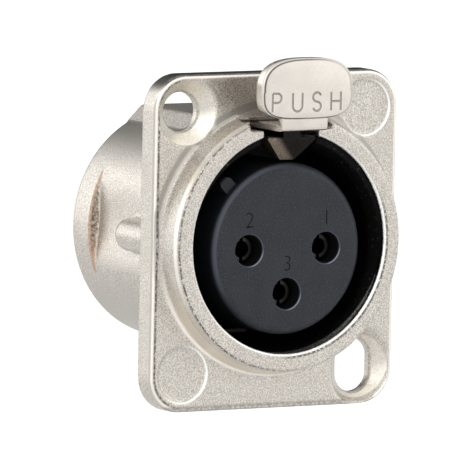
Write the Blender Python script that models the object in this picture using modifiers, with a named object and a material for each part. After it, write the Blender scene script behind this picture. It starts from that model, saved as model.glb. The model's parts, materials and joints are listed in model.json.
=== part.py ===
"""Flange-mounted XLR panel socket, female, three contacts, with a push-to-release latch.

Units are metres, +Z is up and the plug goes in along +Y. The origin is the centre of the contact
insert's front face, on the plug's axis. Sizes are given in millimetres times MM.
"""

import math

import bmesh
import bpy
from mathutils import Matrix, Vector

MM = 0.001

# Clearances between separate pieces
GAP = 0.3 * MM
OVERSHOOT = 1.0 * MM

# Flange, with the plug's axis a little below its centre
FLANGE_WIDTH = 26.0 * MM
FLANGE_HEIGHT = 31.0 * MM
FLANGE_THICKNESS = 2.2 * MM
FLANGE_CORNER = 3.3 * MM
FLANGE_EDGE = 0.35 * MM
FLANGE_RISE = 0.55 * MM
INSERT_STANDS_OUT = 2.4 * MM

# Raised boss round the mouth
BOSS_RADIUS = 11.85 * MM
BOSS_HEIGHT = 2.7 * MM
BOSS_EDGE = 0.25 * MM
MOUTH_RADIUS = 10.15 * MM
MOUTH_DEPTH = 0.5 * MM
MOUTH_TAPER = 1.3 * MM
MOUTH_EDGE = 0.12 * MM
MOUTH_LEDGE = 0.04 * MM

# Barrel behind the flange
BARREL_RADIUS = 10.75 * MM
BARREL_LENGTH = 16.4 * MM
BARREL_EDGE = 0.3 * MM
FLAT_DISTANCE = 9.85 * MM
FLAT_LENGTH = 13.1 * MM
SIDE_POST_RADIUS = 1.55 * MM
SIDE_POST_DISTANCE = 10.3 * MM
SIDE_POST_LENGTH = 6.6 * MM
SIDE_POST_DROP = 0.1 * MM

# Ridge over the latch channel
RIDGE_TOP = 11.0 * MM
RIDGE_TOP_HALF = 3.45 * MM
RIDGE_FOOT = 9.4 * MM
RIDGE_FOOT_HALF = 5.1 * MM

# Bore, and the narrower seat behind it
BORE_RADIUS = 9.5 * MM
BORE_DEPTH = 14.6 * MM
SEAT_RADIUS = 8.7 * MM

# Latch channel, its notch in the boss and the wide slot for the lever
CHANNEL_HALF = 2.9 * MM
CHANNEL_TOP = 10.45 * MM
CHANNEL_LENGTH = 13.2 * MM
NOTCH_TOP = 11.4 * MM
SLOT_HALF = 4.35 * MM
SLOT_FLOOR = 10.38 * MM
SLOT_TOP = 11.15 * MM
SLOT_DEPTH = 1.75 * MM

# Mounting screws, on a 19 by 24 pattern, and the blank pads
SCREW_INSET = 3.5 * MM
SCREW_RADIUS = 1.65 * MM
SINK_RADIUS = 3.1 * MM
SINK_DEPTH = 1.45 * MM
SLOT_TRAVEL = 1.35 * MM
PAD_RADIUS = 2.85 * MM
PAD_DEPTH = 0.18 * MM

# Contact insert
INSERT_RADIUS = 7.92 * MM
INSERT_EDGE = 0.9 * MM
INSERT_DISC = 9.2 * MM
INSERT_DISC_THICKNESS = 2.4 * MM
INSERT_TAIL = 1.6 * MM
KEY_ANGLE = 135.0
KEY_REACH = 9.15 * MM
KEY_WIDTH = 1.3 * MM
KEY_CORNER = 0.6 * MM
CONTACT_SPREAD = 4.1 * MM
CONTACT_HOLE = 1.4 * MM
HOLE_CHAMFER = 0.22 * MM

# Contacts
CONTACT_RADIUS = 1.1 * MM
CONTACT_BORE = 0.78 * MM
CONTACT_RECESS = 1.5 * MM
CONTACT_BORE_DEPTH = 7.0 * MM
CONTACT_SLIT = 0.35 * MM
CONTACT_SLIT_DEPTH = 5.0 * MM
COLLAR_RADIUS = 1.75 * MM
COLLAR_THICKNESS = 0.6 * MM
CUP_BORE = 0.75 * MM
CUP_DEPTH = 2.6 * MM
CUP_OPENING = 2.0 * MM
CONTACT_REACH = 4.6 * MM

# Rear carrier
CARRIER_RIM_RADIUS = 9.7 * MM
CARRIER_RIM_THICKNESS = 1.1 * MM
TOWER_RADIUS = 2.15 * MM
TOWER_HEIGHT = 1.3 * MM

# Ground contact, a strip along the bottom of the bore
STRIP_WIDTH = 2.4 * MM
STRIP_THICKNESS = 0.3 * MM
STRIP_RADIUS = 8.45 * MM
STRIP_FRONT = 9.0 * MM
STRIP_REACH = 4.4 * MM
STRIP_BOW = 0.35 * MM
TAG_HOLE = 0.55 * MM

# Push lever
TAB_HALF_WIDTH = 4.85 * MM
TAB_BOTTOM = 11.63 * MM
TAB_WAIST = 14.15 * MM
TAB_TOP = 17.25 * MM
TAB_TOP_POWER = 2.8
TAB_BOTTOM_POWER = 3.5
TAB_STEPS = 48
TAB_THICKNESS = 1.25 * MM
TAB_REACH = 5.4 * MM
TAB_EDGE = 0.22 * MM
NECK_SETBACK = 0.45 * MM
NECK_THICKNESS = 0.7 * MM
NECK_CURVE = 0.4 * MM
ARM_HALF = 2.4 * MM
ARM_THICKNESS = 0.6 * MM
ARM_BOTTOM = 10.5 * MM
ARM_WINDOW_HALF = 1.2 * MM
ARM_DIP = 0.14 * MM
ARM_DIP_REACH = 0.6 * MM
PIVOT_DEPTH = 1.1 * MM
TRUNNION_RADIUS = 0.27 * MM
TRUNNION_HALF = 4.05 * MM

# Latch hook, a spring-steel tongue in the channel
HOOK_HALF = 2.5 * MM
HOOK_TIP_HALF = 0.7 * MM
HOOK_THICKNESS = 0.4 * MM
HOOK_BOTTOM = 9.1 * MM
HOOK_NOSE_TOP = 9.8 * MM
HOOK_NOSE_SETBACK = 0.6 * MM
HOOK_TIP = 7.58 * MM
HOOK_SHOULDER = 9.5 * MM
HOOK_TIP_CORNER = 0.3 * MM
HOOK_TIP_FRONT = 1.9 * MM
HOOK_TIP_BACK = 1.2 * MM
SHIELD_MARGIN = 0.01 * MM
HOOK_HINGE_DEPTH = 10.0 * MM
HOOK_EAR_HALF = 3.3 * MM
HOOK_EAR_RADIUS = 0.35 * MM
EAR_POCKET_HALF = 3.6 * MM
LIP_HALF = 0.9 * MM
LIP_THICKNESS = 0.4 * MM
LIP_LENGTH = 0.75 * MM

ROUND_STEPS = 96
SMALL_STEPS = 32
CONTACT_STEPS = 24

# Places worked out from the sizes; y grows towards the back
SCREW_SPACING_X = FLANGE_WIDTH - 2 * SCREW_INSET
SCREW_SPACING_Z = FLANGE_HEIGHT - 2 * SCREW_INSET
INSERT_FACE = 0.0
FLANGE_FRONT = INSERT_FACE + INSERT_STANDS_OUT
FLANGE_BACK = FLANGE_FRONT + FLANGE_THICKNESS
BOSS_FACE = FLANGE_FRONT - BOSS_HEIGHT
BARREL_BACK = FLANGE_BACK + BARREL_LENGTH
BORE_FLOOR = BOSS_FACE + BORE_DEPTH
PIVOT_Y = FLANGE_FRONT + PIVOT_DEPTH
PIVOT_Z = FLANGE_RISE + (SLOT_FLOOR + SLOT_TOP) / 2
HINGE_Y = FLANGE_FRONT + HOOK_HINGE_DEPTH
HINGE_Z = FLANGE_RISE + HOOK_BOTTOM + HOOK_THICKNESS / 2
DISC_BACK = BORE_FLOOR - GAP
DISC_FRONT = DISC_BACK - INSERT_DISC_THICKNESS
TAIL_BACK = DISC_BACK + INSERT_TAIL
COLLAR_FRONT = TAIL_BACK + GAP
CARRIER_FRONT = COLLAR_FRONT + COLLAR_THICKNESS + GAP
RIM_FRONT = BARREL_BACK + GAP
RIM_BACK = RIM_FRONT + CARRIER_RIM_THICKNESS
TOWER_BACK = RIM_BACK + TOWER_HEIGHT
LIP_FRONT = BOSS_FACE - LIP_LENGTH
RISER_BACK = BOSS_FACE + LIP_THICKNESS
TAB_FACE = FLANGE_FRONT - TAB_REACH
TAB_BACK = TAB_FACE + TAB_THICKNESS
NECK_FACE = TAB_FACE + NECK_SETBACK
CONTACT_PLACES = {
    "contact_1": (CONTACT_SPREAD, 0.0),
    "contact_2": (-CONTACT_SPREAD, 0.0),
    "contact_3": (0.0, -CONTACT_SPREAD),
}


def up(height):
    """Height over the plug's axis of a height over the flange's centre."""
    return FLANGE_RISE + height


def clear_scene():
    for old in list(bpy.data.objects):
        bpy.data.objects.remove(old, do_unlink=True)


def new_collection(name):
    collection = bpy.data.collections.new(name)
    bpy.context.scene.collection.children.link(collection)
    return collection


def material(name, color, roughness, metallic):
    made = bpy.data.materials.new(name)
    made.use_nodes = True
    surface = made.node_tree.nodes["Principled BSDF"]
    surface.inputs["Base Color"].default_value = (*color, 1.0)
    surface.inputs["Roughness"].default_value = roughness
    surface.inputs["Metallic"].default_value = metallic
    made.diffuse_color = (*color, 1.0)
    return made


def add_object(name, mesh, collection):
    made = bpy.data.objects.new(name, mesh)
    collection.objects.link(made)
    if collection is TOOLS:
        made.hide_render = True
        made.display_type = "WIRE"
    return made


def finish_bmesh(name, shape, collection):
    mesh = bpy.data.meshes.new(name)
    shape.to_mesh(mesh)
    shape.free()
    return add_object(name, mesh, collection)


def bar(name, radius, front, back, x=0.0, z=0.0, steps=ROUND_STEPS, back_radius=None):
    """Cylinder or cone along Y, from front to back, centred on (x, z)."""
    shape = bmesh.new()
    bmesh.ops.create_cone(
        shape, cap_ends=True, segments=steps, radius1=radius,
        radius2=radius if back_radius is None else back_radius, depth=back - front,
        matrix=Matrix.Translation((x, (front + back) / 2, z)) @ Matrix.Rotation(-math.pi / 2, 4, "X"),
    )
    return finish_bmesh(name, shape, TOOLS)


def block(name, low, high):
    """Box between two opposite corners, in either order."""
    shape = bmesh.new()
    size = Vector(abs(a - b) for a, b in zip(high, low))
    centre = (Vector(high) + Vector(low)) / 2
    bmesh.ops.create_cube(shape, size=1.0, matrix=Matrix.Translation(centre) @ Matrix.Diagonal((*size, 1.0)))
    return finish_bmesh(name, shape, TOOLS)


def plate(name, outline, low, high, facing, collection=None):
    """Flat outline of (u, v) points, extruded along Y for an (x, z) outline or along X for (y, z)."""
    curve = bpy.data.curves.new(name, "CURVE")
    curve.dimensions = "2D"
    curve.fill_mode = "BOTH"
    curve.extrude = (high - low) / 2
    spline = curve.splines.new("POLY")
    spline.points.add(len(outline) - 1)
    for point, (u, v) in zip(spline.points, outline):
        point.co = (u, v, 0.0, 1.0)
    spline.use_cyclic_u = True
    middle = (low + high) / 2
    if facing == "Y":
        place = Matrix(((1, 0, 0, 0), (0, 0, -1, middle), (0, 1, 0, 0), (0, 0, 0, 1)))
    else:
        place = Matrix(((0, 0, 1, middle), (1, 0, 0, 0), (0, 1, 0, 0), (0, 0, 0, 1)))
    flat = bpy.data.objects.new(name + "_outline", curve)
    bpy.context.scene.collection.objects.link(flat)
    graph = bpy.context.evaluated_depsgraph_get()
    mesh = bpy.data.meshes.new_from_object(flat.evaluated_get(graph))
    bpy.data.objects.remove(flat, do_unlink=True)
    shape = bmesh.new()
    shape.from_mesh(mesh)
    bmesh.ops.remove_doubles(shape, verts=shape.verts, dist=1e-7)
    bmesh.ops.transform(shape, matrix=place, verts=shape.verts)
    bmesh.ops.recalc_face_normals(shape, faces=shape.faces)
    return finish_bmesh(name, shape, collection or TOOLS)


def turned(name, profile, x, z, collection, steps):
    """Solid turned about a line along Y; the profile lists (radius, y) from the back to the front."""
    mesh = bpy.data.meshes.new(name)
    points = [(radius, 0.0, y) for radius, y in profile]
    mesh.from_pydata(points, [(i, i + 1) for i in range(len(points) - 1)], [])
    made = add_object(name, mesh, collection)
    made.rotation_euler = (-math.pi / 2, 0.0, 0.0)
    made.location = (x, 0.0, z)
    screw = made.modifiers.new("Turn", "SCREW")
    screw.axis = "Z"
    screw.steps = steps
    screw.render_steps = steps
    screw.use_merge_vertices = True
    screw.merge_threshold = 1e-6
    weld = made.modifiers.new("Close ends", "WELD")
    weld.merge_threshold = 1e-6
    return made


def slotted(name, rings, x, z, travel):
    """Cutter with (radius, y) rings, back to front, each drawn out along Z by the travel."""
    shape = bmesh.new()
    loops = []
    for radius, y in rings:
        loop = []
        for side in (1, -1):
            for step in range(SMALL_STEPS // 2 + 1):
                angle = 2 * math.pi * step / SMALL_STEPS
                across = side * radius * math.cos(angle)
                rise = side * (radius * math.sin(angle) + travel / 2)
                loop.append(shape.verts.new((x + across, y, z + rise)))
        loops.append(loop)
    for before, after in zip(loops, loops[1:]):
        for index in range(len(before)):
            shape.faces.new((before[index - 1], before[index], after[index], after[index - 1]))
    shape.faces.new(loops[0])
    shape.faces.new(loops[-1])
    bmesh.ops.recalc_face_normals(shape, faces=shape.faces)
    return finish_bmesh(name, shape, TOOLS)


def combine(target, tool, operation):
    boolean = target.modifiers.new(tool.name, "BOOLEAN")
    boolean.operation = operation
    boolean.solver = "EXACT"
    boolean.object = tool


def cut(target, *tools):
    for tool in tools:
        combine(target, tool, "DIFFERENCE")


def join(target, *tools):
    for tool in tools:
        combine(target, tool, "UNION")


def bevel(target, width, segments=2, angle=30.0):
    edge = target.modifiers.new("Edges", "BEVEL")
    edge.width = width
    edge.segments = segments
    edge.limit_method = "ANGLE"
    edge.angle_limit = math.radians(angle)


def rounded(corners, steps=6):
    """Outline with round corners, from (u, v, radius) corners in order."""
    points = []
    for index, (u, v, radius) in enumerate(corners):
        corner = Vector((u, v))
        before = (Vector(corners[index - 1][:2]) - corner).normalized()
        after = (Vector(corners[(index + 1) % len(corners)][:2]) - corner).normalized()
        if radius <= 0.0:
            points.append((u, v))
            continue
        half = before.angle(after) / 2
        centre = corner + (before + after).normalized() * radius / math.sin(half)
        start = corner + before * radius / math.tan(half) - centre
        end = corner + after * radius / math.tan(half) - centre
        sweep = start.angle_signed(end)
        for step in range(steps + 1):
            turn = Matrix.Rotation(-sweep * step / steps, 2)
            points.append(tuple(centre + turn @ start))
    return points


def set_origin(piece, point):
    """Move a piece's origin to a point, with its mesh left in place."""
    piece.data.transform(Matrix.Translation(-Vector(point)))
    piece.location = point


def flange_body(collection):
    """Flange plate with round corners and a softened front edge."""
    half_x = FLANGE_WIDTH / 2
    half_z = FLANGE_HEIGHT / 2
    corners = [(-half_x, up(-half_z)), (half_x, up(-half_z)), (half_x, up(half_z)), (-half_x, up(half_z))]
    outline = rounded([(x, z, FLANGE_CORNER) for x, z in corners], steps=10)
    made = plate("shell", outline, FLANGE_FRONT, FLANGE_BACK, "Y", collection)
    bevel(made, FLANGE_EDGE, segments=3, angle=60.0)
    return made


def boss_and_barrel():
    """Raised boss in front, and barrel, ridge and side posts behind the flange."""
    middle = (FLANGE_FRONT + FLANGE_BACK) / 2
    boss = bar("boss", BOSS_RADIUS, BOSS_FACE, middle, z=up(0.0))
    bevel(boss, BOSS_EDGE, angle=60.0)
    barrel = bar("barrel", BARREL_RADIUS, middle, BARREL_BACK, z=up(0.0))
    bevel(barrel, BARREL_EDGE, angle=60.0)
    ridge_outline = [
        (-RIDGE_FOOT_HALF, up(0.0)), (RIDGE_FOOT_HALF, up(0.0)), (RIDGE_FOOT_HALF, up(RIDGE_FOOT)),
        (RIDGE_TOP_HALF, up(RIDGE_TOP)), (-RIDGE_TOP_HALF, up(RIDGE_TOP)), (-RIDGE_FOOT_HALF, up(RIDGE_FOOT)),
    ]
    ridge = plate("ridge", ridge_outline, middle + GAP, BARREL_BACK, "Y")
    flats = [
        block(
            f"flat_{side}", (side * FLAT_DISTANCE, FLANGE_BACK, up(-BARREL_RADIUS)),
            (side * (BARREL_RADIUS + OVERSHOOT), FLANGE_BACK + FLAT_LENGTH, up(BARREL_RADIUS)),
        )
        for side in (-1, 1)
    ]
    posts = [
        bar(
            f"post_{side}", SIDE_POST_RADIUS, middle, FLANGE_BACK + SIDE_POST_LENGTH,
            x=side * SIDE_POST_DISTANCE, z=up(-SIDE_POST_DROP), steps=SMALL_STEPS,
        )
        for side in (-1, 1)
    ]
    return boss, barrel, ridge, flats, posts


def mouth_cutters():
    """Chamfered mouth, and the lead-in from it down to the bore on the plug's axis."""
    depth = BOSS_FACE + MOUTH_DEPTH
    mouth = turned("mouth", [
        (0.0, depth), (MOUTH_RADIUS, depth), (MOUTH_RADIUS, BOSS_FACE + MOUTH_EDGE),
        (MOUTH_RADIUS + 2 * MOUTH_EDGE, BOSS_FACE - MOUTH_EDGE), (0.0, BOSS_FACE - MOUTH_EDGE),
    ], 0.0, up(0.0), TOOLS, ROUND_STEPS)
    taper = bar(
        "mouth_taper", MOUTH_RADIUS - MOUTH_LEDGE, depth - MOUTH_LEDGE, depth + MOUTH_TAPER,
        z=up(0.0), back_radius=BORE_RADIUS - MOUTH_LEDGE,
    )
    for vertex in taper.data.vertices:
        if vertex.co.y > depth + MOUTH_TAPER / 2:
            vertex.co.z -= FLANGE_RISE
    return mouth, taper


def screw_cutters():
    """Countersunk round hole at top left and countersunk slot at bottom right."""
    x = SCREW_SPACING_X / 2
    z = SCREW_SPACING_Z / 2
    front = BOSS_FACE - OVERSHOOT
    back = FLANGE_BACK + OVERSHOOT
    rings = [(SCREW_RADIUS, back), (SCREW_RADIUS, FLANGE_FRONT + SINK_DEPTH)]
    rings += [(SINK_RADIUS, FLANGE_FRONT), (SINK_RADIUS, front)]
    return (
        turned("screw_round", [(0.0, back), *rings, (0.0, front)], -x, up(z), TOOLS, SMALL_STEPS),
        slotted("screw_slot", rings, x, up(-z), SLOT_TRAVEL),
    )


def channel_cutters():
    """Latch channel, its notch through the boss, the lever's wide slot and the hook's ear pockets."""
    front = BOSS_FACE - OVERSHOOT
    channel = block(
        "channel", (-CHANNEL_HALF, front, 0.0), (CHANNEL_HALF, FLANGE_FRONT + CHANNEL_LENGTH, up(CHANNEL_TOP)),
    )
    notch = block("notch", (-CHANNEL_HALF, front, 0.0), (CHANNEL_HALF, FLANGE_BACK - GAP, up(NOTCH_TOP)))
    slot = block(
        "wide_slot", (-SLOT_HALF, front, up(SLOT_FLOOR)), (SLOT_HALF, FLANGE_FRONT + SLOT_DEPTH, up(SLOT_TOP)),
    )
    open_top = block(
        "slot_top", (-SLOT_HALF, front, up(SLOT_FLOOR)), (SLOT_HALF, FLANGE_FRONT, up(BOSS_RADIUS + OVERSHOOT)),
    )
    reach = HOOK_EAR_RADIUS + GAP
    pockets = block(
        "ear_pockets", (-EAR_POCKET_HALF, HINGE_Y - reach, HINGE_Z - reach),
        (EAR_POCKET_HALF, HINGE_Y + reach, HINGE_Z + reach),
    )
    return channel, notch, slot, open_top, pockets


def strip_groove(name, front, back, floor=STRIP_RADIUS + STRIP_THICKNESS / 2 + GAP):
    """Cutter for the ground strip's way through the shell, the insert and the carrier."""
    return block(
        name, (-STRIP_WIDTH / 2 - GAP, front, -floor),
        (STRIP_WIDTH / 2 + GAP, back, -STRIP_RADIUS + STRIP_THICKNESS / 2 + GAP),
    )


def make_shell(collection):
    """Die-cast shell: flange, boss, barrel with its ridge, and every opening in them."""
    shell = flange_body(collection)
    boss, barrel, ridge, flats, posts = boss_and_barrel()
    cut(barrel, *flats)
    join(shell, boss, barrel, ridge, *posts)
    bore = bar("bore", BORE_RADIUS, BOSS_FACE + MOUTH_DEPTH, BORE_FLOOR)
    seat = bar("seat", SEAT_RADIUS, BORE_FLOOR - OVERSHOOT, BARREL_BACK + OVERSHOOT)
    cut(shell, bore, seat, *mouth_cutters())
    cut(shell, *channel_cutters())
    cut(shell, *screw_cutters())
    for side in (-1, 1):
        cut(shell, bar(
            f"pad_{side}", PAD_RADIUS, BOSS_FACE - OVERSHOOT, FLANGE_FRONT + PAD_DEPTH,
            x=side * SCREW_SPACING_X / 2, z=up(side * SCREW_SPACING_Z / 2), steps=SMALL_STEPS,
        ))
    cut(shell, strip_groove("shell_groove", BORE_FLOOR - OVERSHOOT, BARREL_BACK + OVERSHOOT))
    return shell


def make_insert(collection):
    """Front contact insert: face, key rib, rear disc and tail, with three contact holes."""
    edge = [
        (INSERT_RADIUS - INSERT_EDGE * (1 - math.cos(angle)), INSERT_FACE + INSERT_EDGE * (1 - math.sin(angle)))
        for angle in (math.radians(15.0 * step) for step in range(7))
    ]
    profile = [(0.0, TAIL_BACK), (SEAT_RADIUS - GAP, TAIL_BACK), (SEAT_RADIUS - GAP, DISC_BACK)]
    profile += [(INSERT_DISC, DISC_BACK), (INSERT_DISC, DISC_FRONT), (INSERT_RADIUS, DISC_FRONT)]
    profile += edge + [(0.0, INSERT_FACE)]
    insert = turned("socket_insert", profile, 0.0, 0.0, collection, ROUND_STEPS)
    outline = rounded([
        (INSERT_RADIUS - OVERSHOOT, -KEY_WIDTH / 2, 0.0), (KEY_REACH, -KEY_WIDTH / 2, KEY_CORNER),
        (KEY_REACH, KEY_WIDTH / 2, KEY_CORNER), (INSERT_RADIUS - OVERSHOOT, KEY_WIDTH / 2, 0.0),
    ])
    turn = Matrix.Rotation(math.radians(KEY_ANGLE), 2)
    key = plate("key", [tuple(turn @ Vector(p)) for p in outline], INSERT_EDGE, DISC_FRONT + GAP, "Y")
    join(insert, key)
    for name, (x, z) in CONTACT_PLACES.items():
        cut(insert, turned(name + "_hole", [
            (0.0, TAIL_BACK + OVERSHOOT), (CONTACT_HOLE, TAIL_BACK + OVERSHOOT),
            (CONTACT_HOLE, INSERT_FACE + HOLE_CHAMFER),
            (CONTACT_HOLE + 2 * HOLE_CHAMFER, INSERT_FACE - HOLE_CHAMFER), (0.0, INSERT_FACE - HOLE_CHAMFER),
        ], x, z, TOOLS, CONTACT_STEPS))
    cut(insert, strip_groove("insert_groove", DISC_FRONT - GAP, TAIL_BACK + OVERSHOOT, INSERT_DISC + GAP))
    return insert


def make_carrier(collection):
    """Rear carrier that closes the barrel, with a low tower round each solder cup."""
    profile = [(0.0, RIM_BACK), (CARRIER_RIM_RADIUS - GAP, RIM_BACK), (CARRIER_RIM_RADIUS, RIM_BACK - GAP)]
    profile += [(CARRIER_RIM_RADIUS, RIM_FRONT), (SEAT_RADIUS - GAP, RIM_FRONT)]
    profile += [(SEAT_RADIUS - GAP, CARRIER_FRONT), (0.0, CARRIER_FRONT)]
    carrier = turned("rear_carrier", profile, 0.0, 0.0, collection, ROUND_STEPS)
    for name, (x, z) in CONTACT_PLACES.items():
        join(carrier, bar(name + "_tower", TOWER_RADIUS, RIM_BACK - GAP, TOWER_BACK, x, z, steps=SMALL_STEPS))
    for name, (x, z) in CONTACT_PLACES.items():
        cut(carrier, bar(
            name + "_way", CONTACT_HOLE, CARRIER_FRONT - OVERSHOOT, TOWER_BACK + OVERSHOOT, x, z,
            steps=CONTACT_STEPS,
        ))
    cut(carrier, strip_groove("carrier_groove", CARRIER_FRONT - OVERSHOOT, RIM_BACK + OVERSHOOT))
    return carrier


def make_contact(name, x, z, collection):
    """Turned contact: slit socket in front, collar, and an open solder cup at the back."""
    front = INSERT_FACE + CONTACT_RECESS
    back = TOWER_BACK + CONTACT_REACH
    collar_back = COLLAR_FRONT + COLLAR_THICKNESS
    profile = [
        (0.0, back - CUP_DEPTH), (CUP_BORE, back - CUP_DEPTH), (CUP_BORE, back), (CONTACT_RADIUS, back),
        (CONTACT_RADIUS, collar_back), (COLLAR_RADIUS, collar_back), (COLLAR_RADIUS, COLLAR_FRONT),
        (CONTACT_RADIUS, COLLAR_FRONT), (CONTACT_RADIUS, front), (CONTACT_BORE, front),
        (CONTACT_BORE, front + CONTACT_BORE_DEPTH), (0.0, front + CONTACT_BORE_DEPTH),
    ]
    contact = turned(name, profile, x, z, collection, CONTACT_STEPS)
    slit = block(
        name + "_slit", (x - CONTACT_SLIT / 2, front - OVERSHOOT, z - CONTACT_HOLE),
        (x + CONTACT_SLIT / 2, front + CONTACT_SLIT_DEPTH, z + CONTACT_HOLE),
    )
    opening = block(
        name + "_cup", (x - CONTACT_HOLE, back - CUP_OPENING, z + CUP_BORE / 4),
        (x + CONTACT_HOLE, back + OVERSHOOT, z + CONTACT_HOLE),
    )
    cut(contact, slit, opening)
    return contact


def make_ground(collection):
    """Ground contact: a sprung strip in the annular gap that runs out to a solder tag."""
    front = INSERT_FACE + STRIP_FRONT
    back = TOWER_BACK + STRIP_REACH
    low = -STRIP_RADIUS - STRIP_THICKNESS / 2
    high = -STRIP_RADIUS + STRIP_THICKNESS / 2
    bow_end = DISC_FRONT - GAP
    bow_middle = (front + bow_end) / 2
    outline = [(front, high), (front, low), (bow_middle, low - STRIP_BOW), (bow_end, low), (back, low)]
    outline += [(back, high), (bow_end, high), (bow_middle, high - STRIP_BOW)]
    ground = plate("ground_contact", outline, -STRIP_WIDTH / 2, STRIP_WIDTH / 2, "X", collection)
    eye = bar(
        "tag_hole", TAG_HOLE, low - OVERSHOOT, high + OVERSHOOT, steps=CONTACT_STEPS,
    )
    eye.data.transform(Matrix.Translation((0.0, back - 2 * TAG_HOLE, 0.0)) @ Matrix.Rotation(math.pi / 2, 4, "X"))
    cut(ground, eye)
    return ground


def tab_outline():
    """Barrel-shaped outline of the lever's tab, fuller below its widest height than above it."""
    points = []
    for step in range(TAB_STEPS):
        turn = 2 * math.pi * step / TAB_STEPS
        across, rise = math.cos(turn), math.sin(turn)
        power = 2 / (TAB_TOP_POWER if rise > 0.0 else TAB_BOTTOM_POWER)
        height = TAB_TOP - TAB_WAIST if rise > 0.0 else TAB_WAIST - TAB_BOTTOM
        points.append((
            math.copysign(TAB_HALF_WIDTH * abs(across) ** power, across),
            up(TAB_WAIST + math.copysign(height * abs(rise) ** power, rise)),
        ))
    return points


def make_lever(collection):
    """Cast push lever: tab, neck, arm with its window, and trunnions in the wide slot."""
    lever = plate("push_lever", tab_outline(), TAB_FACE, TAB_BACK, "Y", collection)
    bevel(lever, TAB_EDGE, angle=60.0)
    bottom = up(ARM_BOTTOM)
    top = bottom + ARM_THICKNESS
    dip_start = FLANGE_FRONT - ARM_DIP_REACH
    arm_end = PIVOT_Y + TRUNNION_RADIUS
    neck_back = NECK_FACE + NECK_THICKNESS
    neck_top = up(TAB_BOTTOM) + TAB_THICKNESS / 2
    side = rounded([
        (NECK_FACE, bottom, NECK_CURVE), (arm_end, bottom, TRUNNION_RADIUS / 2),
        (arm_end, top - ARM_DIP, TRUNNION_RADIUS / 2), (dip_start + ARM_DIP, top - ARM_DIP, 0.0),
        (dip_start, top, 0.0), (neck_back, top, GAP), (neck_back, neck_top, 0.0), (NECK_FACE, neck_top, 0.0),
    ], steps=4)
    arm = plate("arm", side, -ARM_HALF, ARM_HALF, "X")
    trunnions = bar("trunnions", TRUNNION_RADIUS, -TRUNNION_HALF, TRUNNION_HALF, steps=CONTACT_STEPS)
    trunnions.data.transform(Matrix.Translation((0.0, PIVOT_Y, PIVOT_Z)) @ Matrix.Rotation(math.pi / 2, 4, "Z"))
    window = block(
        "arm_window", (-ARM_WINDOW_HALF, BOSS_FACE - GAP, bottom - OVERSHOOT),
        (ARM_WINDOW_HALF, RISER_BACK + GAP, top + OVERSHOOT),
    )
    join(lever, arm, trunnions)
    cut(lever, window)
    set_origin(lever, (0.0, PIVOT_Y, PIVOT_Z))
    return lever


def make_hook(collection):
    """Spring-steel latch hook: strip, toothed nose, lip over the lever's arm, and ears at its root."""
    bottom = up(HOOK_BOTTOM)
    top = bottom + HOOK_THICKNESS
    nose_top = up(HOOK_NOSE_TOP)
    nose_back = FLANGE_FRONT - HOOK_NOSE_SETBACK
    tip_back = FLANGE_FRONT - HOOK_TIP_BACK
    side = [
        (HINGE_Y, bottom), (HINGE_Y, top), (nose_back, top), (nose_back - GAP, nose_top), (BOSS_FACE, nose_top),
        (BOSS_FACE, bottom + GAP), (FLANGE_FRONT - HOOK_TIP_FRONT, up(HOOK_TIP)), (tip_back, up(HOOK_TIP)),
        (tip_back + GAP, bottom),
    ]
    hook = plate("latch_hook", side, -HOOK_HALF, HOOK_HALF, "X", collection)
    shield_top = nose_top + OVERSHOOT
    taper = (HOOK_HALF - HOOK_TIP_HALF) / (HOOK_SHOULDER - HOOK_TIP)
    shield_half = HOOK_TIP_HALF + taper * (shield_top - up(HOOK_TIP))
    shield_bottom = up(HOOK_TIP) - SHIELD_MARGIN
    shield = rounded([
        (-shield_half, shield_top, 0.0), (-HOOK_TIP_HALF, shield_bottom, HOOK_TIP_CORNER),
        (HOOK_TIP_HALF, shield_bottom, HOOK_TIP_CORNER), (shield_half, shield_top, 0.0),
    ])
    combine(hook, plate("hook_shield", shield, BOSS_FACE - OVERSHOOT, HINGE_Y + OVERSHOOT, "Y"), "INTERSECT")
    lip_bottom = up(ARM_BOTTOM) + ARM_THICKNESS + GAP
    lip = plate("lip", [
        (RISER_BACK, nose_top - HOOK_THICKNESS), (RISER_BACK, lip_bottom + LIP_THICKNESS),
        (LIP_FRONT, lip_bottom + LIP_THICKNESS), (LIP_FRONT, lip_bottom), (BOSS_FACE, lip_bottom),
        (BOSS_FACE, nose_top - HOOK_THICKNESS),
    ], -LIP_HALF, LIP_HALF, "X")
    ears = bar("ears", HOOK_EAR_RADIUS, -HOOK_EAR_HALF, HOOK_EAR_HALF, steps=CONTACT_STEPS)
    ears.data.transform(Matrix.Translation((0.0, HINGE_Y, HINGE_Z)) @ Matrix.Rotation(math.pi / 2, 4, "Z"))
    join(hook, lip, ears)
    set_origin(hook, (0.0, HINGE_Y, HINGE_Z))
    return hook


FINISHES = {
    "cast_nickel": ((0.64, 0.61, 0.57), 0.42, 1.0),
    "lever_nickel": ((0.72, 0.70, 0.67), 0.30, 1.0),
    "spring_steel": ((0.33, 0.31, 0.29), 0.45, 1.0),
    "insert_plastic": ((0.045, 0.05, 0.06), 0.50, 0.0),
    "carrier_plastic": ((0.02, 0.02, 0.022), 0.50, 0.0),
    "contact_metal": ((0.70, 0.64, 0.52), 0.30, 1.0),
}
SHADE_ANGLE = 32.0


def finish_piece(piece, finish):
    """Give a piece its material and smooth shading up to its sharp edges."""
    piece.data.materials.clear()
    piece.data.materials.append(MATERIALS[finish])
    piece.data.shade_smooth()
    piece.data.set_sharp_from_angle(angle=math.radians(SHADE_ANGLE))


clear_scene()
PARTS = new_collection("xlr_panel_socket")
TOOLS = new_collection("cutters")
MATERIALS = {name: material(name, *values) for name, values in FINISHES.items()}

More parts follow.
